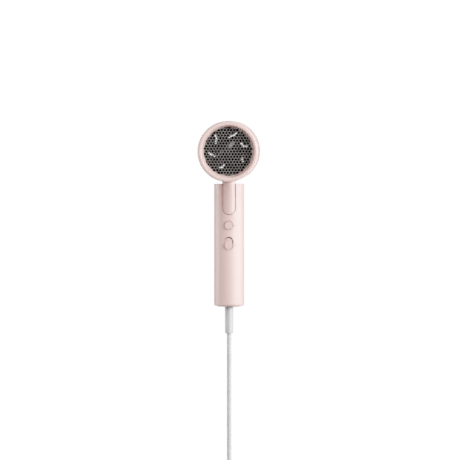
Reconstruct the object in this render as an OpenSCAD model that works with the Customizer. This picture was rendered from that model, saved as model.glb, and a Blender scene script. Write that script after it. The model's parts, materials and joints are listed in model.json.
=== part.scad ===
// Compact folding travel hair dryer.
// Frame: +Z up, -Y is where the air comes out, origin on the handle's axis at the middle of the grip.

/* [Barrel] */
// Outer diameter of the barrel
barrel_d = 64.6; // [64.4:0.1:66]
// Whole length of the head, from outlet lip to intake rim
barrel_l = 137; // [135:1:141]
// Wall thickness of the barrel
barrel_wall = 2.2; // [2:0.1:2.4]
// How far the outlet lip stands in front of the handle's axis
outlet_reach = 90; // [88:1:92]
// Inner diameter of the cylindrical outlet mouth
mouth_d = 54.6; // [54:0.1:54.8]
// Diameter of the grille that shows inside the mouth
grille_view_d = 51.4; // [50.5:0.1:52]

/* [Outlet grille] */
// Distance between neighbouring holes of the honeycomb
hex_pitch = 3.25; // [3:0.05:3.6]
// Width of a honeycomb hole across its flats
hex_hole = 2.65; // [2:0.05:2.8]
// Thickness of the honeycomb plate
grille_t = 0.6; // [0.5:0.1:1.5]

/* [Handle] */
// Outer diameter of the handle
handle_d = 32; // [31:0.5:33]
// Length of the handle from its flat top to its end cap
handle_l = 131; // [130:1:132]
// Wall thickness of the handle
handle_wall = 2.2; // [2:0.1:2.4]
// Free gap between the flat top of the handle and the barrel
neck_gap = 2.2; // [2:0.1:3]

/* [Folding neck] */
// Width of the neck tongue
neck_w = 14.4; // [13.6:0.1:14.8]
// Depth of the neck tongue from front to back
neck_depth = 12; // [11:0.5:12.5]
// Height of the hinge pin above the middle of the grip
pivot_z = 47.5; // [46.5:0.5:48]
// How far the hinge pin sits in front of the handle's axis
pivot_reach = 8; // [7.8:0.1:8.2]
// Diameter of the hinge pin
pin_d = 3; // [2.8:0.1:3.2]

/* [Controls] */
// Diameter of the round temperature button
button_d = 8.7; // [8.4:0.1:9]
// Height of the temperature button above the middle of the grip
button_z = 21.4; // [20:0.1:22]
// Diameter of the sliding power knob
knob_d = 8.7; // [8.4:0.1:9]
// Travel of the sliding power knob
knob_travel = 4.4; // [4:0.1:4.8]
// Gap round the button and the knob
control_gap = 0.5; // [0.4:0.05:0.6]
// How far the button and the knob stand proud of the handle
control_proud = 1.4; // [1:0.1:1.5]
// Depth of the floor that the knob slides over
recess_depth = 1.4; // [1.4:0.1:1.6]

/* [Cord] */
// Diameter of the mains cord
cord_d = 4.8; // [4.8]
// Outer diameter of the strain relief
relief_d = 9.1; // [8.8:0.1:9.6]
// Length of the strain relief below the handle
relief_l = 27.8; // [27.8]

/* [Hidden] */
$fn = 64;
r_out = barrel_d / 2;
r_in = r_out - barrel_wall;
head_z = handle_l / 2 + neck_gap + r_out;
front_y = -outlet_reach;
rear_y = front_y + barrel_l;
mouth_r = mouth_d / 2;

// Front ring, grille and heater, by distance along the barrel
lip_round_in = 2.2;
lip_round = r_out - mouth_r - lip_round_in - 0.2;
mouth_end = front_y + 5;
ring_end = front_y + 10;
grille_y = front_y + 9.5;
spigot_end = front_y + 16;
grille_r = 27.1;
sleeve_wall = 0.7;
sleeve_y0 = grille_y + grille_t;
sleeve_y1 = -20;
star_y0 = -72;
star_y1 = -26;
star_angle = 50;
coil_rows = 7;
coil_step = (star_y1 - star_y0 - 8) / (coil_rows - 1);
coil_r = 21;
coil_wire = 1.4;
ribbon_r = 18;
ribbon_angles = [20, 76, 130, 194, 254, 330];
ribbon_turn = 42;

// Motor and fan
can_r = 13.5;
can_wall = 1.2;
can_y0 = -10;
can_y1 = 18;
shaft_r = 1;
bush_gap = 0.05;
bush_r = 3;
shroud_r = 29.2;
vanes = 9;
vane_y = -1;
fan_r = 28.3;
fan_y0 = 20.5;
fan_h = 10.5;
fan_blades = 11;
blade_lean = 58;
cover_y = 40;
intake_r = 27;
mesh_y = 42.6;
mesh_pitch = 4;
mesh_hole = 3.2;
guard_y = 43.2;

// Handle
h_out = handle_d / 2;
h_in = h_out - handle_wall;
top_z = handle_l / 2;
bottom_z = -handle_l / 2;
dome = 1.3;
edge_r = 2.2;
rim_z = bottom_z + dome;
cap_r = h_in - 0.1;
dome_r = (cap_r * cap_r + dome * dome) / (2 * dome);
frame_r = 13.5;
frame_t = 1.5;
frame_z0 = -54;

// Neck tongue and its slot
neck_r = neck_w / 2;
slot_gap = 0.3;
slot_drop = 0.25;
slot_lip = 0.9;
tongue_z = pivot_z - neck_r;
front_curve = 10.5;
front_axis = front_curve - h_out;
cheek_x = neck_r + 0.5;
pin_reach = 9.9;
pin_gap = 0.05;
washer_r = 3.4;

// Controls
knob_z = 0;
crown_r = 60;
stem = 0.9;
stem_drop = 2.4;
floor_inset = 0.65;
floor_shift = [-0.6, -0.5];
knob_r = knob_d / 2;
button_r = button_d / 2;
board_y = -2;
board_t = 1.6;
board_z0 = -40;
board_z1 = 27;
mark_x = 7;

// Mains cord: surface that the spare cord lies on, and the coil
table_z = -262;
cord_r = cord_d / 2;
relief_end = bottom_z - relief_l;
coil_centre = [0, -44.5];
coil_mid_r = 28.8;
coil_pitch = 4.9;
coil_inner = coil_mid_r - 1.5 * coil_pitch - cord_r;
coil_outer = coil_mid_r + 1.5 * coil_pitch + cord_r;
coil_h = 2 * cord_d;
tie_t = 0.6;
tie_w = 9;
// The stretch that hangs from the strain relief and bends into the coil's outer turn
drop_route = [
    [0, 0, -93.3], [0, 0, -106], [0, 0, -119], [0, 0, -132], [0, 0, -145],
    [0, 0, -158], [0, 0, -171], [0, 0, -184], [0, 0, -197], [0, 0, -210],
    [0, 0, -220], [0, 0, -229], [-0.7, -0.5, -235.5], [-2.8, -2, -241.8],
    [-6.2, -4.4, -247.2], [-10.6, -7.6, -251.3], [-15.6, -11.3, -253.9],
    [-21.2, -15.3, -254.8]
];
// The stretch that leaves the coil and rises into the plug
tail_route = [
    [36.1, -44.5, -259.6], [35.6, -38, -258.6], [34.3, -32, -256.4],
    [32.7, -26, -253.7], [31.3, -20, -251.2], [30.4, -15, -249.6], [30, -10, -249]
];
// Plug
plug_x = 30;
plug_z = table_z + 13;
plug_y0 = -10;
plug_neck = 14;
plug_l = 38;
plug_w = 36;
plug_t = 26;
plug_pin_r = 2.4;
plug_pin_l = 19;
plug_pin_pitch = 19;

// Points of an arc round [cx, cy]
function arc(cx, cy, r, a0, a1, n = 8) =
    [for (i = [0:n]) let (a = a0 + (a1 - a0) * i / n) [cx + r * cos(a), cy + r * sin(a)]];

// Turns a profile of [radius, place along the barrel] round the barrel's axis
module barrel_turned(points) {
    translate([0, 0, head_z]) rotate([-90, 0, 0]) rotate_extrude() polygon(points);
}

// A disc or rod on the barrel's axis
module barrel_rod(r, y0, y1) {
    translate([0, y0, head_z]) rotate([-90, 0, 0]) cylinder(r = r, h = y1 - y0);
}

// A tube on the barrel's axis
module barrel_tube(r1, r2, y0, y1) {
    difference() {
        barrel_rod(r1, y0, y1);
        barrel_rod(r2, y0 - 1, y1 + 1);
    }
}

// Turns what is drawn at angle 0 to another angle round the barrel's axis, seen from the front
module at_angle(a) {
    translate([0, 0, head_z]) rotate([0, -a, 0]) children();
}

// A rod that points along Y from y0 to y1
module rod_y(r, x, y0, y1, z) {
    translate([x, y0, z]) rotate([-90, 0, 0]) cylinder(r = r, h = y1 - y0);
}

// A rod between two points
module rod_between(a, b, r) {
    d = b - a;
    translate(a) rotate([0, acos(d[2] / norm(d)), atan2(d[1], d[0])]) cylinder(r = r, h = norm(d));
}

// A box given by its two opposite corners
module block(a, b) {
    translate(a) cube(b - a);
}

// Draws a flat outline of [x, z] through the depth from y0 to y1
module through_y(y0, y1) {
    translate([0, y1, 0]) rotate([90, 0, 0]) linear_extrude(y1 - y0) children();
}

// An oblong outline that stands upright, from the middle of one end to the other
module oblong(r, z0, z1) {
    translate([0, z0]) circle(r);
    translate([0, z1]) circle(r);
    translate([-r, z0]) square([2 * r, z1 - z0]);
}

// Centres of a hexagonal pattern inside a radius
function hex_points(pitch, r) = let (n = ceil(r / pitch) + 1, rise = pitch * sqrt(3) / 2)
    [for (j = [-2 * n:2 * n], i = [-n:n])
        let (x = pitch * (i + (j % 2 == 0 ? 0 : 0.5)), y = rise * j)
        if (x * x + y * y < r * r) [x, y]];

module hex_plate(plate_r, pitch, hole, hole_area_r) {
    difference() {
        circle(plate_r);
        for (p = hex_points(pitch, hole_area_r))
            translate(p) rotate(30) circle(hole / sqrt(3), $fn = 6);
    }
}

module barrel_shell() {
    color([0.87, 0.76, 0.74]) difference() {
        barrel_rod(r_out, ring_end, cover_y);
        barrel_rod(r_in, ring_end - 1, cover_y + 1);
        neck_holes(r_in - 3);
    }
}

// The two screw holes and the lead hole between the barrel and the neck
module neck_holes(up) {
    for (y = [-14, -6]) translate([0, y, top_z - 6]) cylinder(r = 1.3, h = 20);
    translate([0, -10, pivot_z + 4]) cylinder(r = 2, h = 25);
}

module front_ring() {
    color([0.87, 0.76, 0.74]) barrel_turned(concat(
        arc(r_out - lip_round, front_y + lip_round, lip_round, 0, -90),
        arc(mouth_r + lip_round_in, front_y + lip_round_in, lip_round_in, -90, -180),
        [[mouth_r, mouth_end], [grille_view_d / 2, grille_y], [grille_r, grille_y],
         [grille_r, spigot_end], [r_in, spigot_end], [r_in, ring_end], [r_out, ring_end]]
    ));
}

module outlet_grille() {
    color([0.48, 0.45, 0.43]) translate([0, grille_y, head_z]) rotate([-90, 0, 0])
        linear_extrude(grille_t) hex_plate(grille_r, hex_pitch, hex_hole, 25.4);
}

module heater_sleeve() {
    color([0.75, 0.68, 0.5]) barrel_tube(grille_r, grille_r - sleeve_wall, sleeve_y0, sleeve_y1);
}

module heater_collar() {
    color([0.2, 0.2, 0.2]) barrel_tube(r_in, grille_r, sleeve_y1 - 4, sleeve_y1 - 1);
}

// Mica boards that cross on the axis, with a window in each arm for each row of the coil
module mica_star() {
    color([0.7, 0.62, 0.42]) {
        translate([0, star_y0 + 1, head_z]) rotate([-90, 0, 0])
            cylinder(r = 2.6, h = star_y1 - star_y0 - 2, $fn = 6);
        for (k = [0:5]) at_angle(star_angle + 60 * k)
            translate([0, 0, -0.4]) linear_extrude(0.8) mica_arm();
    }
}

module mica_arm() {
    arm = grille_r - sleeve_wall - 0.1;
    difference() {
        translate([1.5, star_y0]) square([arm - 1.5, star_y1 - star_y0]);
        for (i = [0:coil_rows - 1])
            translate([coil_r - 1.5, star_y0 + 4 + i * coil_step - 1.5]) square(3);
    }
}

// Places what is drawn at the origin on the barrel's axis at one row of the coil
module at_row(i) {
    translate([0, star_y0 + 4 + i * coil_step, head_z]) children();
}

// The rows of the heating coil, each a closed ring of the coil's own outer size
module coil_rings() {
    for (i = [0:coil_rows - 1]) at_row(i)
        rotate([-90, 0, 0]) rotate_extrude() translate([coil_r, 0]) circle(coil_wire, $fn = 8);
}

module heater_coils() {
    color([0.6, 0.6, 0.6]) coil_rings();
}

// Six bright loops of heating ribbon in front of the star
module heater_ribbons() {
    color([0.85, 0.85, 0.83]) for (a = ribbon_angles) at_angle(a)
        translate([ribbon_r, star_y0 - 3, 0]) rotate([0, ribbon_turn, 0])
            difference() {
                block([-0.6, 0, -4.6], [0.6, 4.5, 4.6]);
                block([-1, 0.5, -3.9], [1, 5, 3.9]);
            }
}

module thermostat() {
    color([0.8, 0.78, 0.7]) at_angle(star_angle)
        block([4, star_y0 + 4, 0.4], [12, star_y0 + 14, 4]);
}

module thermal_fuse() {
    color([0.9, 0.9, 0.88]) at_angle(star_angle + 120)
        block([5, star_y0 + 5, 0.4], [8, star_y0 + 16, 3.2]);
}

module motor_can() {
    color([0.7, 0.7, 0.72]) difference() {
        barrel_rod(can_r, can_y0, can_y1);
        barrel_rod(can_r - can_wall, can_y0 - 1, can_y1 - can_wall);
        barrel_rod(bush_r, can_y0, can_y1 + 1);
    }
}

module motor_endbell() {
    color([0.15, 0.15, 0.16]) difference() {
        barrel_rod(can_r, can_y0 - 2, can_y0);
        barrel_rod(bush_r, can_y0 - 3, can_y0 + 1);
    }
}

module motor_magnets() {
    color([0.25, 0.25, 0.27]) difference() {
        barrel_tube(can_r - can_wall, 8.6, can_y0 + 6, can_y1 - 6);
        block([-20, can_y0, head_z - 3], [20, can_y1, head_z + 3]);
    }
}

module motor_bushes() {
    color([0.72, 0.55, 0.3]) {
        barrel_tube(bush_r, shaft_r + bush_gap, can_y1 - can_wall - 1, can_y1 + 0.8);
        barrel_tube(bush_r, shaft_r + bush_gap, can_y0 - 2, can_y0 + 1);
    }
}

module motor_board() {
    color([0.2, 0.4, 0.25]) barrel_tube(12, bush_r + 1, can_y0 - 3.6, can_y0 - 2);
}

// Rectifier diodes and a suppressor on the motor's board
module board_diodes() {
    color([0.1, 0.1, 0.1]) {
        for (a = [0:90:270]) at_angle(a + 20)
            rod_y(1.4, 8.4, can_y0 - 9, can_y0 - 3.6, 0);
        at_angle(65) block([5.6, can_y0 - 8, -2], [9.6, can_y0 - 3.6, 2]);
    }
}

// Sleeve for the motor, guide vanes, and the shroud that the fan turns in
module fan_housing() {
    color([0.88, 0.87, 0.84]) {
        difference() {
            union() {
                barrel_rod(can_r + 1.3, can_y0 + 2, can_y1);
                for (k = [0:vanes - 1]) at_angle((k + 0.5) * 360 / vanes)
                    block([can_r + 0.6, vane_y + 1, -0.6], [shroud_r + 0.8, can_y1 - 3, 0.6]);
                barrel_tube(r_in, shroud_r, vane_y, cover_y - 6);
            }
            barrel_rod(can_r, can_y0, can_y1 + 1);
        }
    }
}

module rear_cover() {
    color([0.87, 0.76, 0.74]) barrel_turned(concat(
        [[intake_r, cover_y - 6], [r_in, cover_y - 6], [r_in, cover_y], [r_out, cover_y]],
        arc(r_out - 3.2, rear_y - 3.2, 3.2, 0, 90),
        [[intake_r + 0.8, rear_y], [intake_r, rear_y - 0.8]]
    ));
}

module intake_guard() {
    color([0.85, 0.74, 0.72]) {
        for (r = [27, 21.5, 16, 10.5]) barrel_tube(r, r - 1.3, guard_y, guard_y + 2.2);
        barrel_rod(5, guard_y, guard_y + 2.2);
        for (k = [0:5]) at_angle(60 * k)
            block([4.5, guard_y, -0.7], [26, guard_y + 2.2, 0.7]);
    }
}

module intake_mesh() {
    color([0.2, 0.2, 0.2]) translate([0, mesh_y, head_z]) rotate([-90, 0, 0])
        linear_extrude(guard_y - mesh_y) hex_plate(intake_r, mesh_pitch, mesh_hole, 24.8);
}

// Front outline of the neck: a tongue with a round end that widens where it meets the barrel
module neck_outline() {
    flare = 1.5;
    foot_z = top_z + neck_gap - 0.5;
    oblong(neck_r, tongue_z, top_z + 3);
    difference() {
        translate([-neck_r - flare, foot_z]) square([2 * (neck_r + flare), 6]);
        for (s = [-1, 1]) translate([s * (neck_r + flare), foot_z]) circle(flare);
    }
}

module neck_arm() {
    color([0.87, 0.76, 0.74]) difference() {
        intersection() {
            through_y(-h_out, -h_out + neck_depth) neck_outline();
            translate([0, front_axis, tongue_z - 10]) cylinder(r = front_curve, h = 50);
        }
        barrel_rod(r_out, ring_end, cover_y);
        translate([0, -pivot_reach, pivot_z]) rotate([0, 90, 0])
            cylinder(r = pin_d / 2 + pin_gap, h = 40, center = true);
        neck_holes(0);
        block([-2, -10, pivot_z + 4], [2, 0, pivot_z + 8]);
    }
}

module neck_screws() {
    color([0.6, 0.6, 0.62]) for (y = [-14, -6]) {
        translate([0, y, top_z - 6]) cylinder(r = 1.3, h = 10.2);
        translate([0, y, top_z + neck_gap + barrel_wall]) cylinder(r = 2.2, h = 1.8);
    }
}

module neck_leads() {
    color([0.85, 0.85, 0.85]) {
        translate([0, -10, pivot_z + 6]) cylinder(r = 1.7, h = 21);
        rod_y(1.7, 0, -10, -2, pivot_z + 6);
    }
}

module motor_shaft() {
    color([0.75, 0.75, 0.78]) barrel_rod(shaft_r, can_y0 - 1.5, fan_y0 + fan_h + 1.5);
}

module armature() {
    color([0.65, 0.4, 0.25]) difference() {
        union() {
            barrel_rod(7.5, can_y0 + 6, can_y1 - 6);
            barrel_rod(2.8, can_y0 + 2, can_y0 + 6);
        }
        barrel_rod(shaft_r, can_y0, can_y1);
    }
}

module fan() {
    color([0.15, 0.15, 0.16]) translate([0, fan_y0, head_z]) rotate([-90, 0, 0])
        difference() {
            intersection() {
                union() {
                    cylinder(r = 9, h = fan_h);
                    for (i = [0:fan_blades - 1]) rotate([0, 0, i * 360 / fan_blades])
                        translate([8, 0, fan_h / 2]) rotate([blade_lean, 0, 0])
                            translate([0, -0.6, -12]) cube([22, 1.2, 24]);
                }
                cylinder(r = fan_r, h = fan_h);
            }
            translate([0, 0, -1]) cylinder(r = shaft_r, h = fan_h + 2);
        }
}

module handle_shell() {
    side = neck_r + slot_gap;
    color([0.87, 0.76, 0.74]) difference() {
        rotate_extrude() polygon(concat(
            [[0, top_z], [0, top_z - handle_wall], [h_in, top_z - handle_wall], [h_in, rim_z]],
            arc(h_out - edge_r, rim_z + edge_r, edge_r, -90, 0),
            arc(h_out - 0.5, top_z - 0.5, 0.5, 0, 90, 4)
        ));
        through_y(-h_out - 1, -h_out + neck_depth + slot_gap)
            oblong(side, tongue_z - slot_drop, top_z + side);
        // An undercut behind the slot's lower edge, where the tongue's end swings inwards
        intersection() {
            translate([0, 0, tongue_z - 20]) cylinder(r = h_out - slot_lip, h = 40);
            through_y(-h_out - 1, -6) oblong(side + 1.1, tongue_z - 0.6, tongue_z + 2);
        }
        rod_y(button_r + control_gap, 0, -h_out - 1, -5, button_z);
        through_y(-h_out - 1, -5)
            oblong(knob_r + control_gap, knob_z, knob_z + knob_travel);
        for (z = [button_z, knob_z]) rod_y(0.5, mark_x, -h_out, -10, z);
    }
}

// Two small round inlays beside the controls
module control_marks() {
    mark_y = -sqrt(h_out * h_out - mark_x * mark_x);
    color([0.75, 0.65, 0.63]) for (z = [button_z, knob_z])
        rod_y(0.5, mark_x, mark_y + 0.1, mark_y + 1.5, z);
}

module end_cap() {
    color([0.87, 0.76, 0.74]) difference() {
        intersection() {
            translate([0, 0, bottom_z]) cylinder(r = cap_r, h = 7);
            translate([0, 0, bottom_z + dome_r]) sphere(dome_r, $fn = 96);
        }
        translate([0, 0, rim_z + 2]) cylinder(r = cap_r - 1.6, h = 9);
        translate([0, 0, bottom_z - 1]) cylinder(r = 4, h = 20);
        for (s = [-1, 1]) translate([s * 9, 0, bottom_z - 1]) cylinder(r = 1.1, h = 20);
        for (s = [-1, 1]) translate([s * 9, 0, bottom_z - 1]) cylinder(r = 2.1, h = 2.4);
    }
}

module cap_screws() {
    color([0.6, 0.6, 0.62]) for (s = [-1, 1]) translate([s * 9, 0, 0]) {
        translate([0, 0, bottom_z + 1.4]) cylinder(r = 1.1, h = 12);
        translate([0, 0, bottom_z + 0.4]) cylinder(r = 1.95, h = 1);
    }
}

// Inner frame: a half tube behind the board, with cheeks for the hinge pin and a foot for the cap
module chassis() {
    color([0.3, 0.3, 0.32]) difference() {
        intersection() {
            translate([0, 0, frame_z0]) cylinder(r = frame_r, h = top_z - handle_wall - frame_z0);
            union() {
                difference() {
                    block([-20, 4, frame_z0], [20, 20, 60]);
                    translate([0, 0, frame_z0 - 1]) cylinder(r = frame_r - frame_t, h = 130);
                }
                for (s = [-1, 1]) translate([s * (cheek_x + 4), 0, 0])
                    block([-4, -12, 36], [4, 6, 60]);
                for (s = [-1, 1]) translate([s * 8.7, 0, 0])
                    block([-4.7, board_y + board_t, frame_z0], [4.7, 8, frame_z0 + 9]);
                block([-13, 8, frame_z0], [13, 13, frame_z0 + 9]);
            }
        }
        translate([0, -pivot_reach, pivot_z]) rotate([0, 90, 0])
            cylinder(r = pin_d / 2 + pin_gap, h = 40, center = true);
        for (s = [-1, 1]) translate([s * 9, 0, frame_z0 - 1]) cylinder(r = 1.1, h = 4);
        for (s = [-1, 1]) rod_y(1, s * 6, -1, 6.5, -50.5);
    }
}

module hinge_pin() {
    color([0.7, 0.7, 0.72]) translate([0, -pivot_reach, pivot_z]) rotate([0, 90, 0])
        cylinder(r = pin_d / 2, h = 2 * pin_reach, center = true);
}

module friction_washers() {
    color([0.9, 0.9, 0.88]) for (s = [-1, 1])
        translate([s * (neck_r + 0.3), -pivot_reach, pivot_z]) rotate([0, 90, 0])
            difference() {
                cylinder(r = washer_r, h = 0.4, center = true);
                cylinder(r = pin_d / 2 + pin_gap, h = 2, center = true);
            }
}

module temp_button() {
    color([0.87, 0.76, 0.74]) {
        intersection() {
            rod_y(button_r, 0, -h_out - 2, -12.2, button_z);
            translate([0, -h_out - control_proud + crown_r, button_z]) sphere(crown_r, $fn = 240);
        }
        rod_y(button_r + 0.8, 0, -12.2, -11.2, button_z);
        rod_y(2, 0, -11.2, -8.5, button_z);
    }
}

module button_spring() {
    color([0.7, 0.7, 0.72]) difference() {
        rod_y(3.4, 0, -11.1, -7.5, button_z);
        rod_y(2.5, 0, -12, -7, button_z);
    }
}

module temp_switch() {
    color([0.15, 0.15, 0.16])
        block([-5, -7.4, button_z - 3.5], [5, board_y, button_z + 3.5]);
}

module slide_knob() {
    color([0.87, 0.76, 0.74]) {
        intersection() {
            rod_y(knob_r, 0, -h_out - 2, -15, knob_z);
            translate([0, -h_out - control_proud + crown_r, knob_z]) sphere(crown_r, $fn = 240);
        }
        block([-stem, -15.1, knob_z - stem_drop - stem], [stem, -12, knob_z - stem_drop + stem]);
    }
}

module knob_carrier() {
    color([0.9, 0.9, 0.88]) block([-4, -12, knob_z - 7], [4, -10.8, knob_z + 7]);
}

module switch_slider() {
    color([0.9, 0.9, 0.88]) block([-1.4, -10.8, knob_z - 1.6], [1.4, -6.4, knob_z + 1.6]);
}

// Outline of the floor that the knob slides over: lower left in its opening, which leaves a crescent gap
module floor_outline() {
    translate(floor_shift)
        oblong(knob_r + control_gap - floor_inset, knob_z, knob_z + knob_travel);
}

// Curved liner behind the knob's opening, whose raised floor has a slot for the stem
module recess_tray() {
    slot = stem + 0.35;
    slot_z = knob_z - stem_drop;
    color([0.83, 0.72, 0.7]) difference() {
        union() {
            difference() {
                intersection() {
                    translate([0, 0, knob_z - 8]) cylinder(r = h_in, h = knob_travel + 16);
                    block([-8.5, -20, knob_z - 8], [8.5, -8, knob_z + knob_travel + 8]);
                }
                through_y(-20, -8) difference() {
                    oblong(knob_r + control_gap - 0.1, knob_z, knob_z + knob_travel);
                    floor_outline();
                }
            }
            intersection() {
                translate([0, 0, knob_z - 8]) cylinder(r = h_out - recess_depth, h = knob_travel + 16);
                through_y(-20, -10) intersection() {
                    oblong(knob_r + control_gap - 0.05, knob_z, knob_z + knob_travel);
                    floor_outline();
                }
            }
        }
        translate([0, 0, knob_z - 10]) cylinder(r = h_in - 1.1, h = 40);
        block([-slot, -20, slot_z - slot], [slot, -8, slot_z + knob_travel + slot]);
    }
}

module slide_switch() {
    color([0.15, 0.15, 0.16]) difference() {
        block([-4.5, -9, knob_z - 8], [4.5, board_y, knob_z + knob_travel + 8]);
        block([-1.8, -10, knob_z - 2], [1.8, -6, knob_z + knob_travel + 2]);
    }
}

module control_board() {
    color([0.75, 0.6, 0.35]) difference() {
        block([-9.5, board_y, board_z0], [9.5, board_y + board_t, board_z1]);
        for (s = [-1, 1]) rod_y(1, s * 7, board_y - 1, board_y + 3, board_z0 + 4);
    }
}

// Capacitor, triac with its heat sink, four diodes and two connectors
module board_parts() {
    face = board_y + board_t;
    color([0.2, 0.25, 0.45]) {
        block([-6, face, 8], [6, face + 6, 22]);
        block([-5, face, -12], [5, face + 4.5, 2]);
        for (i = [0:3]) block([-7 + 4 * i, face, -26], [-5 + 4 * i, face + 2.6, -18]);
        block([-6, board_y - 6, -22], [6, board_y, -14]);
        for (s = [-1, 1]) block([s * 5 - 2.5, board_y - 4.5, -32], [s * 5 + 2.5, board_y, -24]);
    }
}

module board_screws() {
    color([0.6, 0.6, 0.62]) for (s = [-1, 1]) {
        rod_y(1, s * 7, board_y, board_y + board_t + 4, board_z0 + 4);
        rod_y(1.9, s * 7, board_y - 1.2, board_y, board_z0 + 4);
    }
}

module supply_lead() {
    color([0.88, 0.88, 0.88]) translate([0, 0, relief_end])
        cylinder(r = cord_r, h = -48.5 - relief_end);
}

// Two cores that run from the end of the jacket to the board's connectors
module supply_cores() {
    color([0.35, 0.45, 0.7]) for (s = [-1, 1])
        rod_between([s * 1.1, -1.2, -48], [s * 4, -4.9, -32.6], 0.9);
}

module cord_clamp() {
    color([0.3, 0.3, 0.32]) difference() {
        block([-7.6, -6, -53], [7.6, -0.4, -47.5]);
        translate([0, 0, -60]) cylinder(r = cord_r, h = 20);
        block([-3, -7, -48.6], [3, 0, -47]);
        for (s = [-1, 1]) rod_y(1, s * 6, -7, 1, -50.5);
    }
}

module clamp_screws() {
    color([0.6, 0.6, 0.62]) for (s = [-1, 1]) {
        rod_y(1, s * 6, -6, 6, -50.5);
        rod_y(1.9, s * 6, -7.2, -6, -50.5);
    }
}

// Leads that run up behind the swing of the neck
module heater_leads() {
    color([0.85, 0.85, 0.85]) for (x = [-3, 0, 3]) {
        translate([x, 9.4, 12]) cylinder(r = 1.1, h = 40);
        rod_y(1.1, x, board_y + board_t + 6, 9.4, 13.2);
    }
}

// Strain relief: a slightly tapered sleeve with a rounded end, and a flange inside the end cap
module strain_relief() {
    end_r = relief_d / 2 - 0.15;
    round_r = 1.2;
    color([0.9, 0.9, 0.9]) difference() {
        union() {
            rotate_extrude() polygon(concat(
                [[0, bottom_z + 0.2], [0, relief_end]],
                arc(end_r - round_r, relief_end + round_r, round_r, -90, 0),
                [[relief_d / 2, bottom_z + 0.2]]
            ));
            translate([0, 0, bottom_z]) cylinder(r = 4, h = 8);
            translate([0, 0, bottom_z + 7]) cylinder(r = 6.2, h = 2.6);
        }
        translate([0, 0, relief_end - 1]) cylinder(r = cord_r, h = 60);
    }
}

// A tube swept along a route with an eight-sided ring at each of its points
function unit(v) = v / norm(v);
function way(p, i) = unit(p[min(i + 1, len(p) - 1)] - p[max(i - 1, 0)]);
module swept_tube(p, r) {
    sides = 8;
    n = len(p);
    // A fixed sideways direction that no route here runs along
    across = unit([1, -1.6, 0.2]);
    points = [for (i = [0:n - 1], k = [0:sides - 1])
        let (t = way(p, i), a = unit(cross(t, across)), b = cross(t, a), q = 360 * k / sides)
        p[i] + r * (cos(q) * a + sin(q) * b)];
    walls = [for (i = [0:n - 2], k = [0:sides - 1]) let (j = (k + 1) % sides)
        [i * sides + k, i * sides + j, (i + 1) * sides + j, (i + 1) * sides + k]];
    ends = [[for (k = [sides - 1:-1:0]) k], [for (k = [0:sides - 1]) (n - 1) * sides + k]];
    polyhedron(points, concat(walls, ends));
}

module cord_drop() {
    color([0.93, 0.93, 0.93]) swept_tube(drop_route, cord_r);
}

module cord_tail() {
    color([0.93, 0.93, 0.93]) swept_tube(tail_route, cord_r);
}

module cord_coil() {
    color([0.93, 0.93, 0.93]) translate([coil_centre[0], coil_centre[1], table_z])
        rotate_extrude() translate([coil_inner, 0]) square([coil_outer - coil_inner, coil_h]);
}

module cord_tie() {
    color([0.2, 0.2, 0.2]) translate([0, coil_centre[1] - coil_mid_r, table_z]) difference() {
        block([-tie_w / 2, -11, 0], [tie_w / 2, 11, coil_h + tie_t]);
        block([-tie_w, -11 + tie_t, tie_t], [tie_w, 11 - tie_t, coil_h]);
    }
}

// Two-pin plug: a wide face that narrows towards the cord
module plug_body() {
    color([0.93, 0.93, 0.93]) difference() {
        union() {
            hull() {
                translate([0, plug_y0 + plug_neck + plug_l - 12, 0]) plug_face(12, 1);
                translate([0, plug_y0 + plug_neck, 0]) plug_face(1, 0.6);
            }
            rod_y(cord_r + 2, plug_x, plug_y0, plug_y0 + plug_neck + 1, plug_z);
        }
        rod_y(cord_r, plug_x, plug_y0 - 1, plug_y0 + 8, plug_z);
    }
}

// A flat-sided face of the plug, thick along Y
module plug_face(t, k) {
    translate([plug_x, 0, plug_z]) rotate([-90, 0, 0]) linear_extrude(t) intersection() {
        circle(plug_w / 2 * k, $fn = 48);
        square([plug_w, plug_t * k], center = true);
    }
}

module plug_pins() {
    color([0.75, 0.75, 0.77]) for (s = [-1, 1])
        rod_y(plug_pin_r, plug_x + s * plug_pin_pitch / 2, plug_y0 + plug_neck + plug_l,
            plug_y0 + plug_neck + plug_l + plug_pin_l, plug_z);
}

barrel_shell();
front_ring();
outlet_grille();
heater_sleeve();
heater_collar();
mica_star();
heater_coils();
heater_ribbons();
thermostat();
thermal_fuse();
motor_can();
motor_endbell();
motor_magnets();
motor_bushes();
motor_board();
board_diodes();
fan_housing();
rear_cover();
intake_guard();
intake_mesh();
neck_arm();
neck_screws();
neck_leads();
motor_shaft();
armature();
fan();
handle_shell();
end_cap();
cap_screws();
chassis();
hinge_pin();
friction_washers();
temp_button();
button_spring();
temp_switch();
slide_knob();
knob_carrier();
switch_slider();
recess_tray();
slide_switch();
control_board();
board_parts();
board_screws();
cord_clamp();
clamp_screws();
supply_lead();
supply_cores();
heater_leads();
control_marks();
strain_relief();
cord_drop();
cord_coil();
cord_tail();
cord_tie();
plug_body();
plug_pins();
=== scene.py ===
"""Looks of the travel hair dryer: its materials, cord, plug, heating wire and intake mesh.

Lengths are millimetres in the CAD frame unless a comment says metres, and MM turns them into Blender's
metres. +Z is up the handle, -Y is the way the air leaves, and +X is to the right seen from the front.
"""

import json
import math

import bmesh
import bpy
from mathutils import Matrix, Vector


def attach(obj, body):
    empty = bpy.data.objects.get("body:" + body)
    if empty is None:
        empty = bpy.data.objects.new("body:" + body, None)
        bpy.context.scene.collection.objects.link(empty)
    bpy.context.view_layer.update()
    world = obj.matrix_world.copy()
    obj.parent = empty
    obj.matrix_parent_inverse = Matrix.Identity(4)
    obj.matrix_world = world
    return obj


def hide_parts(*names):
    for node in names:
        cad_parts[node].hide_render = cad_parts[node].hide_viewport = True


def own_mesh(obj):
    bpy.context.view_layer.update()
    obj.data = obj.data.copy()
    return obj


MM = 0.001

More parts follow.
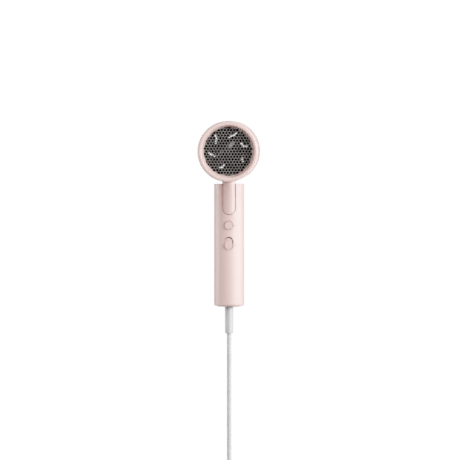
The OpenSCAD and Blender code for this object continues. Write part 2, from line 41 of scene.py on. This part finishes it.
# Camera: its distance, aim and view width in metres, far off so that there is hardly any perspective
CAMERA_DISTANCE = 20
CAMERA_TURN, CAMERA_RISE = math.radians(0.8), math.radians(0.5)
CAMERA_AIM = (0.001, 0, 0.0164)
VIEW_WIDTH = 0.4876
SENSOR = 36

# Lights, in metres and watts: name, azimuth from the front towards the right, elevation, distance,
# size and power
LIGHTS = [
    ("key", 52, 10, 1.2, 0.4, 18),
    ("right_side", 88, 4, 1.0, 0.6, 9),
    ("front_fill", -12, 27, 1.3, 0.9, 10.5),
    ("left_rim", -100, 4, 0.9, 0.5, 5.5),
    ("back", 200, 22, 1.3, 0.9, 17),
]
LIGHT_AIM = (0, -0.04, 0.05)
# White surroundings: how strongly they light the object, and how bright the camera sees them
AMBIENT = 0.1
BACKGROUND = 2.2
# The light that prints as full white
FILM_WHITE = 2.2

# Floor: its radius in metres, and how far it lies below the coil's table in millimetres
FLOOR_RADIUS = 1.3
FLOOR_DROP = 0.7
FLOOR_COLOUR = (0.86, 0.86, 0.86)
FLOOR_GLOW = 1.8
FLOOR_SIDES = 96

# Mains cord, its length in metres
TABLE_Z = -262
CORD_D = 4.8
CORD_START = (0, 0, -88)
DROP_ROUTE = [
    (0, 0, -93.3), (0, 0, -106), (0, 0, -119), (0, 0, -132), (0, 0, -145), (0, 0, -158),
    (0, 0, -171), (0, 0, -184), (0, 0, -197), (0, 0, -210), (0, 0, -220), (0, 0, -229),
    (-0.7, -0.5, -235.5), (-2.8, -2, -241.8), (-6.2, -4.4, -247.2), (-10.6, -7.6, -251.3),
    (-15.6, -11.3, -253.9), (-21.2, -15.3, -254.8),
]
TAIL_ROUTE = [
    (36.1, -44.5, -259.6), (35.6, -38, -258.6), (34.3, -32, -256.4), (32.7, -26, -253.7),
    (31.3, -20, -251.2), (30.4, -15, -249.6), (30, -10, -249),
]
CORD_END = (30, -2, -249)
COIL_CENTRE = (0, -44.5)
COIL_START_ANGLE = 126
COIL_TURNS = 7.65
COIL_RADII = [36.15, 31.25, 26.35, 21.45]
COIL_TOP_Z = TABLE_Z + 1.5 * CORD_D
COIL_LOW_Z = TABLE_Z + 0.5 * CORD_D
COIL_SHIFT = 0.22
COIL_INWARD_DIP = 0.6
POINTS_PER_TURN = 16

# Tie round the coil
TIE_WIDTH, TIE_THICK = 9, 0.7
TIE_TURNS, TIE_START_ANGLE = 1.32, 60
TIE_GAP, TIE_SQUARENESS = 0.15, 4
LAP_FROM, LAP_RISE, LAP_GAP = 0.94, 0.08, 0.1
TIE_STEPS = 104

# Plug
PLUG_X = 30
PLUG_Z = TABLE_Z + 13
PLUG_HALF = (18, 13)
PLUG_SQUARENESS = 3.2
PLUG_BACK, PLUG_FRONT = 4, 42
PLUG_NECK = 0.6
PLUG_SECTIONS, PLUG_SIDES = 60, 56
GRIP_FROM, GRIP_TO, GROOVE_STEP, GROOVE_DEPTH = 13, 31, 5, 0.9
SLEEVE_RIBS, RIB_STEP, RIB_GROWTH = 6, 2.2, 0.12
PIN_PITCH, PIN_R, PIN_END = 19, 2.4, 61

# Barrel
BARREL_Z = 100
RIBBON_Y = -79.72
RIBBON_R = 17.5
RIBBON_WIDTH, RIBBON_THICK = 1.9, 0.35
RIBBON_TILT, RIBBON_SAG = 0.1, 1.2
RIBBON_STEPS = 8
# each ribbon: its angle seen from the front, its turn from the x direction, its length and its bend
RIBBONS = [
    (19, -26, 9, 22), (73, 27, 10.6, 4), (132, -86, 10.6, -20),
    (192, -27, 8.4, 8), (251, 32, 7.6, 20), (330, -80, 5, 8),
]
COIL_ROWS = 7
COIL_ROW_Y0, COIL_ROW_STEP = -68, 6.33
HEATER_R, HELIX_R, HELIX_WIRE, HELIX_PITCH = 21, 1.15, 0.24, 1.5
POINTS_PER_COIL = 7
MESH_R, MESH_Y, MESH_PITCH, MESH_WIRE = 26.9, 42.9, 1.5, 0.19

# Sides of wires and of turned shapes
WIRE_SIDES = 4
TURNED_SIDES = 40


# ---------------------------------------------------------------- making

def metres(point):
    """A point in millimetres as a vector in metres."""
    return Vector(point) * MM


def smooth_step(t):
    """0 to 1 with a soft start and end, for t from 0 to 1."""
    t = min(max(t, 0), 1)
    return t * t * (3 - 2 * t)


def mesh_object(name, bm, smooth=True):
    """A new object from a bmesh, which is freed."""
    bmesh.ops.recalc_face_normals(bm, faces=bm.faces)
    mesh = bpy.data.meshes.new(name)
    bm.to_mesh(mesh)
    bm.free()
    for polygon in mesh.polygons:
        polygon.use_smooth = smooth
    made = bpy.data.objects.new(name, mesh)
    bpy.context.scene.collection.objects.link(made)
    return made


def loft(bm, rings, closed=False):
    """Adds a tube through rings of points in millimetres: capped at both ends, or closed into a loop."""
    rows = [[bm.verts.new(metres(point)) for point in ring] for ring in rings]
    count = len(rows[0])
    pairs = list(zip(rows, rows[1:]))
    if closed:
        pairs.append((rows[-1], rows[0]))
    for low, high in pairs:
        for k in range(count):
            after = (k + 1) % count
            bm.faces.new((low[k], low[after], high[after], high[k]))
    if not closed:
        bm.faces.new(rows[0][::-1])
        bm.faces.new(rows[-1])


def sweep(bm, path, radius, closed=False):
    """Adds a round wire along a path of points in millimetres."""
    points = [Vector(point) for point in path]
    last = len(points) - 1
    side = None
    rings = []
    for k, point in enumerate(points):
        if closed:
            along = points[(k + 1) % len(points)] - points[k - 1]
        else:
            along = points[min(k + 1, last)] - points[max(k - 1, 0)]
        along.normalize()
        if side is None:
            side = along.orthogonal()
        side = (side - along * side.dot(along)).normalized()
        up = along.cross(side)
        turns = [2 * math.pi * (s + 0.5) / WIRE_SIDES for s in range(WIRE_SIDES)]
        rings.append([point + side * math.cos(a) * radius + up * math.sin(a) * radius for a in turns])
    loft(bm, rings, closed)


def lathe_y(bm, x, z, profile):
    """Adds a turned shape round the Y direction through x and z, from (radius, y) points."""
    turns = [2 * math.pi * k / TURNED_SIDES for k in range(TURNED_SIDES)]
    loft(bm, [
        [(x + radius * math.cos(a), y, z + radius * math.sin(a)) for a in turns]
        for radius, y in profile
    ])


# ---------------------------------------------------------------- materials

class Finish:
    """A node material: a principled shader and short calls for the nodes in front of it."""

    def __init__(self, name, **sockets):
        self.material = bpy.data.materials.new(name)
        self.material.use_nodes = True
        self.nodes = self.material.node_tree.nodes
        self.links = self.material.node_tree.links
        self.shader = self.nodes["Principled BSDF"]
        self.place = self.nodes.new("ShaderNodeTexCoord").outputs["Object"]
        for socket, value in sockets.items():
            self.shader.inputs[socket.replace("_", " ")].default_value = value

    def node(self, kind, inputs=None, **settings):
        """A node with its settings, and its inputs linked or set."""
        made = self.nodes.new("ShaderNode" + kind)
        for key, value in settings.items():
            setattr(made, key, value)
        for key, value in (inputs or {}).items():
            if isinstance(value, bpy.types.NodeSocket):
                self.links.new(value, made.inputs[key])
            else:
                made.inputs[key].default_value = value
        return made

    def noise(self, size, detail, stretch=(1, 1, 1)):
        """Noise with features of about this size in millimetres, drawn out by stretch."""
        mapped = self.node("Mapping", {"Vector": self.place, "Scale": stretch})
        return self.node(
            "TexNoise", {"Vector": mapped.outputs["Vector"], "Scale": 1 / (size * MM), "Detail": detail}
        ).outputs["Fac"]

    def cells(self, size):
        """Random grey for each cell of about this size in millimetres."""
        found = self.node("TexVoronoi", {"Vector": self.place, "Scale": 1 / (size * MM)})
        return self.node("RGBToBW", {"Color": found.outputs["Color"]}).outputs["Val"]

    def between(self, factor, low, high):
        """A number that goes from low to high over the middle of the factor, where noise mostly lies."""
        return self.node(
            "MapRange",
            {"Value": factor, "From Min": 0.3, "From Max": 0.7, "To Min": low, "To Max": high},
        ).outputs["Result"]

    def colours(self, factor, low, high, start=0.3, end=0.7):
        """Colours the shader from low to high as the factor goes from start to end."""
        ramp = self.node("ValToRGB", {"Fac": factor})
        ramp.color_ramp.elements[0].position = start
        ramp.color_ramp.elements[1].position = end
        ramp.color_ramp.elements[0].color = (*low, 1)
        ramp.color_ramp.elements[1].color = (*high, 1)
        self.links.new(ramp.outputs["Color"], self.shader.inputs["Base Color"])

    def roughen(self, factor, low, high):
        """Roughness from low to high with the factor."""
        self.links.new(self.between(factor, low, high), self.shader.inputs["Roughness"])

    def relief(self, height, depth):
        """Bumps of this depth in millimetres, on top of any made before."""
        bump = self.node("Bump", {"Height": height, "Distance": depth * MM, "Strength": 1.0})
        before = self.shader.inputs["Normal"].links
        if before:
            self.links.new(before[0].from_socket, bump.inputs["Normal"])
        self.links.new(bump.outputs["Normal"], self.shader.inputs["Normal"])


def shade(colour, k):
    """The colour made lighter or darker."""
    return tuple(min(c * k, 1) for c in colour)


def moulded(name, colour, roughness, grain=0.02, mottle=0.03, **sockets):
    """Injection-moulded plastic: fine spark-eroded grain, faint flow marks, uneven sheen."""
    finish = Finish(name, **sockets)
    flow = finish.noise(14, 3)
    finish.colours(flow, shade(colour, 1 - mottle), shade(colour, 1 + mottle))
    finish.roughen(finish.noise(3, 4), roughness - 0.05, roughness + 0.06)
    finish.relief(finish.noise(0.35, 3), grain)
    finish.relief(finish.noise(7, 1), grain * 1.5)
    return finish.material


def metal(name, colour, roughness, brushed=(1, 1, 1)):
    """Bare or plated metal with fine scratches drawn out along one direction, and dull spots."""
    finish = Finish(name, Metallic=1.0)
    finish.colours(finish.noise(5, 4), shade(colour, 0.86), shade(colour, 1.08))
    scratches = finish.noise(0.25, 3, brushed)
    finish.roughen(scratches, roughness - 0.08, roughness + 0.12)
    finish.relief(scratches, 0.01)
    return finish.material


def grille_paint():
    """Stamped steel: satin grey-beige lacquer on both faces, and near-black walls in the punched holes as
    painted shade in the holes.
    """
    finish = Finish("grille_metal", Metallic=0.3)
    normal = finish.node("SeparateXYZ", {"Vector": finish.node("TexCoord").outputs["Normal"]})
    facing = finish.node("Math", {0: normal.outputs["Y"]}, operation="ABSOLUTE").outputs[0]
    lacquer = finish.between(finish.noise(9, 3), 0.75, 1)
    face_lacquer_vs_hole_shade = finish.node("Math", {0: facing, 1: lacquer}, operation="MULTIPLY").outputs[0]
    # Walls of the punched holes go near black as painted shade in the holes; the faces keep the lacquer
    # grey.
    finish.colours(face_lacquer_vs_hole_shade, (0.002, 0.002, 0.002), (0.2, 0.183, 0.174), 0.5, 1)
    finish.roughen(finish.noise(0.8, 3), 0.34, 0.5)
    finish.relief(finish.noise(0.3, 2), 0.01)
    return finish.material


def mica_board():
    """Pressed mica, near black as painted shade for the dark inside of the barrel, with paler flakes."""
    finish = Finish("mica", Specular_IOR_Level=0.3)
    # Near-black colours: painted shade inside the barrel.
    finish.colours(finish.cells(1.1), (0.008, 0.007, 0.006), (0.02, 0.017, 0.014), 0.15, 0.85)
    finish.roughen(finish.cells(0.9), 0.35, 0.75)
    finish.relief(finish.noise(0.8, 4), 0.03)
    return finish.material


def resistance_alloy(name, low, high):
    """Resistance alloy with a faint heat tint."""
    finish = Finish(name, Metallic=0.35)
    finish.colours(finish.noise(6, 2), low, high)
    finish.roughen(finish.noise(1.5, 2), 0.3, 0.42)
    finish.relief(finish.noise(0.6, 2), 0.02)
    return finish.material


def ribbed(name, base, painted_gap_shade, band_colour, pitch, direction, depth, **sockets):
    """Windings, spring turns or moulded ribs: bands across a direction at a steady pitch in millimetres,
    the darker part of each band painted shade between the turns.
    """
    finish = Finish(name, **sockets)
    waves = finish.node(
        "TexWave",
        {"Vector": finish.place, "Scale": math.pi / (pitch * MM) / 10, "Distortion": 0.0},
        wave_type="BANDS",
        bands_direction=direction,
        wave_profile="SIN",
    ).outputs["Fac"]
    finish.colours(waves, painted_gap_shade, band_colour, 0.1, 0.8)
    finish.roughen(finish.noise(2, 2), base - 0.05, base + 0.08)
    finish.relief(waves, depth)
    return finish.material


def woven_tape():
    """Black woven tape of the cord's tie: small cells of thread."""
    finish = Finish("tie_black", Sheen_Weight=0.4, Sheen_Roughness=0.5)
    threads = finish.cells(0.5)
    finish.colours(threads, (0.012, 0.012, 0.013), (0.04, 0.04, 0.042), 0.1, 0.9)
    finish.roughen(threads, 0.7, 0.95)
    finish.relief(threads, 0.12)
    return finish.material


def circuit_board():
    """Paper-based board: dark brown with soft fibre marks."""
    finish = Finish("circuit_board", Coat_Weight=0.2)
    finish.colours(finish.noise(3, 5), (0.03, 0.019, 0.01), (0.055, 0.036, 0.02))
    finish.roughen(finish.noise(1, 3), 0.35, 0.55)
    finish.relief(finish.cells(1.5), 0.03)
    return finish.material


def cord_skin():
    """Satin light grey PVC with a faint orange-peel skin."""
    finish = Finish("cord_pvc", Specular_IOR_Level=0.95, Sheen_Weight=0.6, Sheen_Roughness=0.45)
    finish.colours(finish.noise(20, 2), (0.48, 0.48, 0.48), (0.53, 0.53, 0.53))
    finish.roughen(finish.noise(2, 3), 0.36, 0.5)
    finish.relief(finish.noise(0.5, 3), 0.02)
    return finish.material


PINK = (0.785, 0.532, 0.49)
MATERIALS = {
    "pink_shell": moulded("pink_shell", PINK, 0.42, mottle=0.012, Specular_IOR_Level=0.6,
        Sheen_Weight=0.35, Sheen_Roughness=0.45),
    "pink_guard": moulded("pink_guard", shade(PINK, 0.96), 0.46, mottle=0.012),
    "pink_button": moulded("pink_button", shade(PINK, 0.97), 0.42, mottle=0.012, Specular_IOR_Level=0.7),
    # The recess tray a tenth darker than the shell: painted shade in the recess.
    "recess_pink": moulded("recess_pink", shade(PINK, 0.9), 0.5, mottle=0.02),
    "grille_metal": grille_paint(),
    "mesh_metal": metal("mesh_metal", (0.22, 0.21, 0.21), 0.42),
    "mica": mica_board(),
    # Heating wire near black: painted shade for the dark inside of the barrel.
    "heater_wire": resistance_alloy("heater_wire", (0.03, 0.027, 0.024), (0.06, 0.055, 0.05)),
    # Ribbon near white: partly the ribbon's pale alloy and partly a painted glint behind the grille.
    "ribbon_bright": resistance_alloy("ribbon_bright", (0.7, 0.69, 0.67), (0.8, 0.79, 0.78)),
    "ceramic_white": moulded("ceramic_white", (0.80, 0.79, 0.75), 0.25, Coat_Weight=0.5),
    "motor_steel": metal("motor_steel", (0.55, 0.55, 0.57), 0.32, (1, 12, 1)),
    "magnet_dark": metal("magnet_dark", (0.10, 0.10, 0.11), 0.55),
    "bush_bronze": metal("bush_bronze", (0.52, 0.32, 0.13), 0.42),
    "armature_copper": ribbed(
        "armature_copper", 0.3, (0.25, 0.08, 0.03), (0.62, 0.24, 0.10), 0.5, "Y", 0.1, Metallic=1.0
    ),
    "black_plastic": moulded("black_plastic", (0.012, 0.012, 0.013), 0.45, mottle=0.1),
    "housing_white": moulded("housing_white", (0.72, 0.71, 0.68), 0.45),
    "frame_grey": moulded("frame_grey", (0.06, 0.06, 0.065), 0.5),
    "circuit_board": circuit_board(),
    "board_parts_dark": moulded("board_parts_dark", (0.02, 0.028, 0.06), 0.3, mottle=0.3),
    "screw_steel": metal("screw_steel", (0.5, 0.5, 0.52), 0.3),
    "spring_steel": ribbed(
        "spring_steel", 0.3, (0.12, 0.12, 0.13), (0.6, 0.6, 0.62), 1.0, "Y", 0.3, Metallic=1.0
    ),
    "lead_white": moulded("lead_white", (0.74, 0.74, 0.72), 0.5, grain=0.01),
    "mark_grey": moulded("mark_grey", (0.42, 0.31, 0.29), 0.6),
    "cord_pvc": cord_skin(),
    "tie_black": woven_tape(),
    "plug_brass": metal("plug_brass", (0.72, 0.70, 0.66), 0.22),
}


def dress(made, slot, body, replaced):
    """Gives a new piece the material of its slot and its body, and hides the CAD nodes that it stands for.
    """
    made.data.materials.append(MATERIALS[slot])
    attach(made, body)
    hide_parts(*replaced)
    return made


def dress_frame():
    """Gives every CAD node the material of its slot."""
    for subpart in frame["record"]["subparts"]:
        materials = frame["nodes"][subpart["node"]].data.materials
        materials.clear()
        materials.append(MATERIALS[subpart["material_slot"]])


# ---------------------------------------------------------------- camera, lights, floor

def make_camera():
    """The main view: almost straight on to the outlet, from very slightly right and above."""
    data = bpy.data.cameras.new("camera")
    data.sensor_width = SENSOR
    data.lens = SENSOR * CAMERA_DISTANCE / VIEW_WIDTH
    data.clip_end = 3 * CAMERA_DISTANCE
    camera = bpy.data.objects.new("camera", data)
    level = math.cos(CAMERA_RISE)
    back = Vector((math.sin(CAMERA_TURN) * level, -math.cos(CAMERA_TURN) * level, math.sin(CAMERA_RISE)))
    camera.location = Vector(CAMERA_AIM) + back * CAMERA_DISTANCE
    camera.rotation_euler = (math.radians(90) - CAMERA_RISE, 0, CAMERA_TURN)
    bpy.context.scene.collection.objects.link(camera)
    bpy.context.scene.camera = camera


def make_lights():
    """Soft panels round the object, and white surroundings that light it less than they look."""
    for name, azimuth, elevation, distance, size, watts in LIGHTS:
        data = bpy.data.lights.new(name, "AREA")
        data.shape = "DISK"
        data.size = size
        data.energy = watts
        lamp = bpy.data.objects.new(name, data)
        turn, rise = math.radians(azimuth), math.radians(elevation)
        way = Vector((math.sin(turn) * math.cos(rise), -math.cos(turn) * math.cos(rise), math.sin(rise)))
        lamp.location = Vector(LIGHT_AIM) + way * distance
        lamp.rotation_euler = way.to_track_quat("Z", "Y").to_euler()
        bpy.context.scene.collection.objects.link(lamp)

    world = bpy.data.worlds.new("white_room")
    world.use_nodes = True
    nodes, links = world.node_tree.nodes, world.node_tree.links
    background = nodes["Background"]
    background.inputs["Color"].default_value = (1, 1, 1, 1)
    seen = nodes.new("ShaderNodeLightPath").outputs["Is Camera Ray"]
    strength = nodes.new("ShaderNodeMapRange")
    strength.inputs["To Min"].default_value = AMBIENT
    strength.inputs["To Max"].default_value = BACKGROUND
    links.new(seen, strength.inputs["Value"])
    links.new(strength.outputs["Result"], background.inputs["Strength"])
    bpy.context.scene.world = world


def make_film():
    """A camera's response: each channel rolls off softly towards white, so bright pink turns paler."""
    settings = bpy.context.scene.view_settings
    settings.view_transform = "Standard"
    settings.use_curve_mapping = True
    mapping = settings.curve_mapping
    mapping.white_level = (FILM_WHITE, FILM_WHITE, FILM_WHITE)
    points = mapping.curves[3].points
    for light in (0.1, 0.3, 0.6, 0.95, 1.35, 1.75):
        points.new(light / FILM_WHITE, (1 - math.exp(-light)) / (1 - math.exp(-FILM_WHITE)))
    mapping.update()


def make_floor():
    """A pale round table top under the coil, bright to the camera, that throws no light on the object."""
    bm = bmesh.new()
    ring = [
        bm.verts.new((FLOOR_RADIUS * math.cos(a), FLOOR_RADIUS * math.sin(a), (TABLE_Z - FLOOR_DROP) * MM))
        for a in (2 * math.pi * k / FLOOR_SIDES for k in range(FLOOR_SIDES))
    ]
    bm.faces.new(ring)
    floor = mesh_object("floor", bm, smooth=False)
    finish = Finish("floor_pale", Roughness=0.6)
    finish.colours(finish.noise(120, 2), shade(FLOOR_COLOUR, 0.99), FLOOR_COLOUR)
    finish.shader.inputs["Emission Color"].default_value = (1, 1, 1, 1)
    finish.shader.inputs["Emission Strength"].default_value = FLOOR_GLOW
    floor.data.materials.append(finish.material)
    floor.visible_diffuse = False


# ---------------------------------------------------------------- cord, tie, plug

def coil_route():
    """The coil's points: inwards on top and out again below, with each shift at the end of a turn."""
    rows = [(r, COIL_TOP_Z) for r in COIL_RADII] + [(r, COIL_LOW_Z) for r in reversed(COIL_RADII)]
    steps = round(COIL_TURNS * POINTS_PER_TURN)
    points = []
    for k in range(1, steps):
        turns = COIL_TURNS * k / steps
        row = int(turns)
        after = min(row + 1, len(rows) - 1)
        share = smooth_step((turns - row - 1 + COIL_SHIFT) / COIL_SHIFT)
        radius = rows[row][0] * (1 - share) + rows[after][0] * share
        height = rows[row][1] * (1 - share) + rows[after][1] * share
        if rows[row][1] != rows[after][1]:
            radius -= COIL_INWARD_DIP * math.sin(math.pi * share)
        angle = math.radians(COIL_START_ANGLE + 360 * turns)
        points.append((
            COIL_CENTRE[0] + radius * math.cos(angle),
            COIL_CENTRE[1] + radius * math.sin(angle),
            height,
        ))
    return points


def make_cord():
    """The mains cord from inside the strain relief, down, round the coil and into the plug."""
    route = [CORD_START] + DROP_ROUTE + coil_route() + TAIL_ROUTE + [CORD_END]
    curve = bpy.data.curves.new("mains_cord", "CURVE")
    curve.dimensions = "3D"
    curve.bevel_depth = CORD_D / 2 * MM
    curve.bevel_resolution = 5
    curve.resolution_u = 5
    curve.use_fill_caps = True
    spline = curve.splines.new("BEZIER")
    spline.bezier_points.add(len(route) - 1)
    for bezier, point in zip(spline.bezier_points, route):
        bezier.co = metres(point)
        bezier.handle_left_type = "AUTO"
        bezier.handle_right_type = "AUTO"
    cord = bpy.data.objects.new("mains_cord", curve)
    bpy.context.scene.collection.objects.link(cord)
    return dress(cord, "cord_pvc", "handle", ("cord_drop", "cord_coil", "cord_tail"))


def rounded(a, half_x, half_z, power):
    """The point at the angle a of a rounded rectangle, which is squarer for a higher power."""
    c, s = math.cos(a), math.sin(a)
    x = half_x * math.copysign(abs(c) ** (2 / power), c)
    z = half_z * math.copysign(abs(s) ** (2 / power), s)
    return x, z


def plug_ring(y):
    """The plug body's outline at y: narrow at its sleeve, with finger grooves and a rounded front edge."""
    along = (y - PLUG_BACK) / (PLUG_FRONT - PLUG_BACK)
    grow = PLUG_NECK + (1 - PLUG_NECK) * smooth_step(along * 1.5)
    front_round = 1 - 0.06 * smooth_step((y - PLUG_FRONT + 2) / 2) ** 2
    groove = 0
    if GRIP_FROM < y < GRIP_TO:
        waves = (y - (GRIP_FROM + GRIP_TO) / 2) / GROOVE_STEP
        groove = GROOVE_DEPTH * max(0, math.cos(waves * 2 * math.pi))
    half_x = PLUG_HALF[0] * grow * front_round - groove
    half_z = PLUG_HALF[1] * (0.30 + 0.70 * grow) * front_round
    turns = [2 * math.pi * (k + 0.5) / PLUG_SIDES for k in range(PLUG_SIDES)]
    outline = [rounded(a, half_x, half_z, PLUG_SQUARENESS) for a in turns]
    return [(PLUG_X + x, y, PLUG_Z + z) for x, z in outline]


def plug_sleeve():
    """The profile of the ribbed sleeve behind the plug, as (radius, y) points."""
    profile = [(2.6, -10), (3.1, -9.6)]
    for k in range(SLEEVE_RIBS):
        grown = RIB_GROWTH * k
        start = -9.2 + RIB_STEP * k
        profile += [(3.5 + grown, start), (3.5 + grown, start + 1.1)]
        profile += [(2.9 + grown, start + 1.3), (2.9 + grown, start + 2)]
    return profile + [(5.2, 4.2), (6.5, 5.5)]


def pin_profile():
    """The profile of a round pin with a ball end, as (radius, y) points."""
    quarter = [math.radians(9 * k) for k in range(10)]
    tip = [(PIN_R * math.cos(a), PIN_END - PIN_R + PIN_R * math.sin(a)) for a in quarter]
    return [(PIN_R, PLUG_FRONT - 2)] + tip + [(0.1, PIN_END)]


def make_plug():
    """Moulded two-pin plug: a grooved body with its sleeve and a collar round each of the two pins."""
    pin_places = [PLUG_X + side * PIN_PITCH / 2 for side in (-1, 1)]
    collar = [(4.2, -2), (4.2, 0.5), (3.9, 0.8), (2.5, 0.8)]
    length = PLUG_FRONT - PLUG_BACK
    bm = bmesh.new()
    loft(bm, [plug_ring(PLUG_BACK + length * k / PLUG_SECTIONS) for k in range(PLUG_SECTIONS + 1)])
    lathe_y(bm, PLUG_X, PLUG_Z, plug_sleeve())
    for x in pin_places:
        lathe_y(bm, x, PLUG_Z, [(radius, PLUG_FRONT + y) for radius, y in collar])
    plug = mesh_object("mains_plug", bm)
    plug.modifiers.new("edges", "EDGE_SPLIT").split_angle = math.radians(50)
    dress(plug, "cord_pvc", "handle", ("plug_body",))

    bm = bmesh.new()
    for x in pin_places:
        lathe_y(bm, x, PLUG_Z, pin_profile())
    pins = mesh_object("mains_pins", bm)
    dress(pins, "plug_brass", "handle", ("plug_pins",))
    return plug, pins


def make_tie():
    """A woven tape round the coil's section, one turn and a lapped end."""
    section_y = COIL_CENTRE[1] - (COIL_RADII[0] + COIL_RADII[-1]) / 2
    centre = Vector((0, section_y, TABLE_Z + CORD_D))
    half_y = (COIL_RADII[0] - COIL_RADII[-1] + CORD_D) / 2
    aside = Vector((TIE_WIDTH / 2, 0, 0))
    floor_z = TABLE_Z - FLOOR_DROP
    rings = []
    for k in range(TIE_STEPS + 1):
        turn = TIE_TURNS * k / TIE_STEPS
        a = 2 * math.pi * turn + math.radians(TIE_START_ANGLE)
        lift = TIE_GAP + (TIE_THICK + LAP_GAP) * smooth_step((turn - LAP_FROM) / LAP_RISE)
        out = Vector((0, math.cos(a) / half_y, math.sin(a) / CORD_D)).normalized()
        inner = centre + Vector((0, *rounded(a, half_y, CORD_D, TIE_SQUARENESS))) + out * lift
        outer = inner + out * TIE_THICK
        inner.z = max(inner.z, floor_z + 0.1)
        outer.z = max(outer.z, floor_z + 0.05)
        rings.append([inner - aside, inner + aside, outer + aside, outer - aside])
    bm = bmesh.new()
    loft(bm, rings)
    tie = mesh_object("coil_tie", bm)
    tie.modifiers.new("soft_edges", "BEVEL").width = 0.2 * MM
    return dress(tie, "tie_black", "handle", ("cord_tie",))


# ---------------------------------------------------------------- inside the barrel

def make_heater_helix():
    """The heating wire: a small helix wound round the mica star in each row."""
    bm = bmesh.new()
    steps = POINTS_PER_COIL * round(2 * math.pi * HEATER_R / HELIX_PITCH)
    for row in range(COIL_ROWS):
        y = COIL_ROW_Y0 + COIL_ROW_STEP * row
        path = []
        for k in range(steps):
            around = 2 * math.pi * k / steps
            twist = 2 * math.pi * k / POINTS_PER_COIL
            radius = HEATER_R + HELIX_R * math.cos(twist)
            path.append((
                radius * math.cos(around),
                y + HELIX_R * math.sin(twist),
                BARREL_Z + radius * math.sin(around),
            ))
        sweep(bm, path, HELIX_WIRE, closed=True)
    dress(mesh_object("heater_helix", bm), "heater_wire", "head", ("heater_coils",))


def make_ribbons():
    """Bent strips of heating ribbon just behind the grille, near white: partly the ribbon's pale alloy and
    partly a painted glint.
    """
    bm = bmesh.new()
    for angle, turn, length, bend in RIBBONS:
        place, way = math.radians(angle), math.radians(turn)
        middle = Vector((RIBBON_R * math.cos(place), RIBBON_Y, BARREL_Z + RIBBON_R * math.sin(place)))
        across = Vector((-math.sin(way), RIBBON_TILT, math.cos(way))).normalized() * RIBBON_WIDTH / 2
        back = Vector((0, RIBBON_THICK, 0))
        rings = []
        for k in range(RIBBON_STEPS + 1):
            along = k / RIBBON_STEPS - 0.5
            local = way + math.radians(bend if along > 0 else -bend)
            step = Vector((math.cos(local), 0, math.sin(local))) * along * length
            spot = middle + step + Vector((0, RIBBON_SAG * along * along, 0))
            rings.append([spot - across, spot + across, spot + across + back, spot - across + back])
        loft(bm, rings)
    strips = mesh_object("heater_ribbon_strips", bm, smooth=False)
    dress(strips, "ribbon_bright", "head", ("heater_ribbons",))


def make_intake_weave():
    """Fine woven wire behind the intake guard: each wire passes over and under the ones it crosses."""
    bm = bmesh.new()
    count = int(MESH_R / MESH_PITCH)
    for across in (0, 1):
        for row in range(-count, count + 1):
            offset = row * MESH_PITCH
            reach = math.sqrt(MESH_R**2 - offset**2)
            if reach < MESH_PITCH:
                continue
            path = []
            side_count = int(reach / MESH_PITCH)
            for k in range(-side_count, side_count + 1):
                over = 1 if (k + row + across) % 2 else -1
                place = k * MESH_PITCH
                x, z = (place, offset) if across else (offset, place)
                path.append((x, MESH_Y + over * MESH_WIRE, BARREL_Z + z))
            sweep(bm, path, MESH_WIRE)
    dress(mesh_object("intake_weave", bm), "mesh_metal", "head", ("intake_mesh",))


def let_spring_give():
    """Gives the button's spring its own copy of its mesh."""
    spring = frame["nodes"]["button_spring"]
    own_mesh(spring)


# ---------------------------------------------------------------- the scene


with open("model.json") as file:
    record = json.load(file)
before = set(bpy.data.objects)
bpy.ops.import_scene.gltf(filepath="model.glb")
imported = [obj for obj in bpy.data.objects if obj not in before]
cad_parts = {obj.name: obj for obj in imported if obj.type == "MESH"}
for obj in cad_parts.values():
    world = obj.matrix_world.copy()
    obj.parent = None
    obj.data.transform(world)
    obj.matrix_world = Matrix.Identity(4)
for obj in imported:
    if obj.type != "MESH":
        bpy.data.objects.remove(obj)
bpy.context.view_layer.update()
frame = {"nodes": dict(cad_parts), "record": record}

make_camera()
cord = make_cord()
plug, pins = make_plug()
tie = make_tie()
make_lights()
make_film()
make_floor()
dress_frame()
make_heater_helix()
make_ribbons()
make_intake_weave()
let_spring_give()
